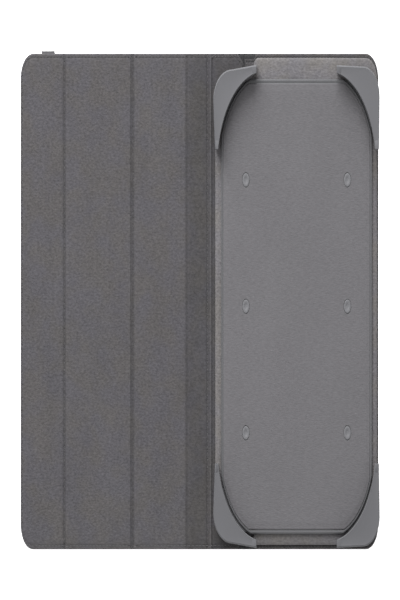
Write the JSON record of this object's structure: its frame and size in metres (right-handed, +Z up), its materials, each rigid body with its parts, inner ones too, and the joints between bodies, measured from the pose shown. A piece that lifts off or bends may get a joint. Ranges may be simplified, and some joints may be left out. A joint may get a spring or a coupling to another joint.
{
  "type": "tablet case",
  "caption": "Open folio case with a creased suede-lined front cover, a spine and corner grips that hold a small tablet.",
  "frame": {"origin": "middle of the open case's footprint, on the table under its outer skin", "axes": "+X from the front cover's free edge towards the tablet side, +Y up the pages towards the tablet's top, +Z up off the table, out of the lining"},
  "size_m": [0.305, 0.2122, 0.0173],
  "materials": {
    "skin": "fine-grained black polyurethane leather, satin",
    "board": "pressed grey-brown bookbinding board",
    "lining": "brushed grey microsuede, matt",
    "band": "ribbed woven elastic, charcoal",
    "plate": "fine spark-textured moulding, dark grey",
    "pad": "short-napped dark grey felt",
    "rivet": "satin dark grey head",
    "grip": "smooth matt grey elastomer"
  },
  "bodies": {
    "tablet_holder": {"hinge_strip_skin": "skin", "hinge_strip_board": "board", "hinge_strip_lining": "lining", "tablet_panel_backing": "lining", "tablet_panel_board": "board", "tablet_panel_lining": "lining", "carrier_plate": "plate", "carrier_pad": "pad", "carrier_rivets": "rivet"},
    "rear_leaf": {"rear_leaf_skin": "skin", "rear_leaf_board": "board", "rear_leaf_lining": "lining"},
    "spine": {"spine_skin": "skin", "spine_board": "board", "spine_lining": "lining"},
    "front_inner": {"front_inner_skin": "skin", "front_inner_board": "board", "front_inner_lining": "lining"},
    "front_middle": {"front_middle_skin": "skin", "front_middle_board": "board", "front_middle_lining": "lining"},
    "front_outer": {"front_outer_skin": "skin", "front_outer_board": "board", "front_outer_lining": "lining", "elastic_band": "band"},
    "grip_top_left": {"grip_top_left": "grip"},
    "grip_top_right": {"grip_top_right": "grip"},
    "grip_bottom_left": {"grip_bottom_left": "grip"},
    "grip_bottom_right": {"grip_bottom_right": "grip"}
  },
  "joints": [
    {"name": "spine_fold", "type": "hinge", "parent": "tablet_holder", "child": "spine", "pos_m": [0.0082, 0, 0.0016], "axis": [0, 1, 0], "range_deg": [-90, 90]},
    {"name": "front_fold", "type": "hinge", "parent": "spine", "child": "front_inner", "pos_m": [-0.0106, 0, 0.0016], "axis": [0, 1, 0], "range_deg": [-90, 90]},
    {"name": "inner_crease", "type": "hinge", "parent": "front_inner", "child": "front_middle", "pos_m": [-0.0574, 0, 0.0032], "axis": [0, -1, 0], "range_deg": [-137, 0]},
    {"name": "outer_crease", "type": "hinge", "parent": "front_middle", "child": "front_outer", "pos_m": [-0.1148, 0, 0.0032], "axis": [0, -1, 0], "range_deg": [-126, 0]},
    {"name": "leaf_fold", "type": "hinge", "parent": "tablet_holder", "child": "rear_leaf", "pos_m": [0.0375, 0, -0.0001], "axis": [0, 1, 0], "range_deg": [0, 170]},
    {"name": "peel_top_left", "type": "hinge", "parent": "tablet_holder", "child": "grip_top_left", "pos_m": [0.01615, 0.09595, 0.00655], "axis": [0.7071, 0.7071, 0], "range_deg": [-30, 0], "stiffness_Nm_per_rad": 0.15},
    {"name": "peel_top_right", "type": "hinge", "parent": "tablet_holder", "child": "grip_top_right", "pos_m": [0.14815, 0.09595, 0.00655], "axis": [0.7071, -0.7071, 0], "range_deg": [-30, 0], "stiffness_Nm_per_rad": 0.15},
    {"name": "peel_bottom_left", "type": "hinge", "parent": "tablet_holder", "child": "grip_bottom_left", "pos_m": [0.01615, -0.10145, 0.00655], "axis": [-0.7071, 0.7071, 0], "range_deg": [-30, 0], "stiffness_Nm_per_rad": 0.15},
    {"name": "peel_bottom_right", "type": "hinge", "parent": "tablet_holder", "child": "grip_bottom_right", "pos_m": [0.14815, -0.10145, 0.00655], "axis": [-0.7071, -0.7071, 0], "range_deg": [-30, 0], "stiffness_Nm_per_rad": 0.15}
  ]
}
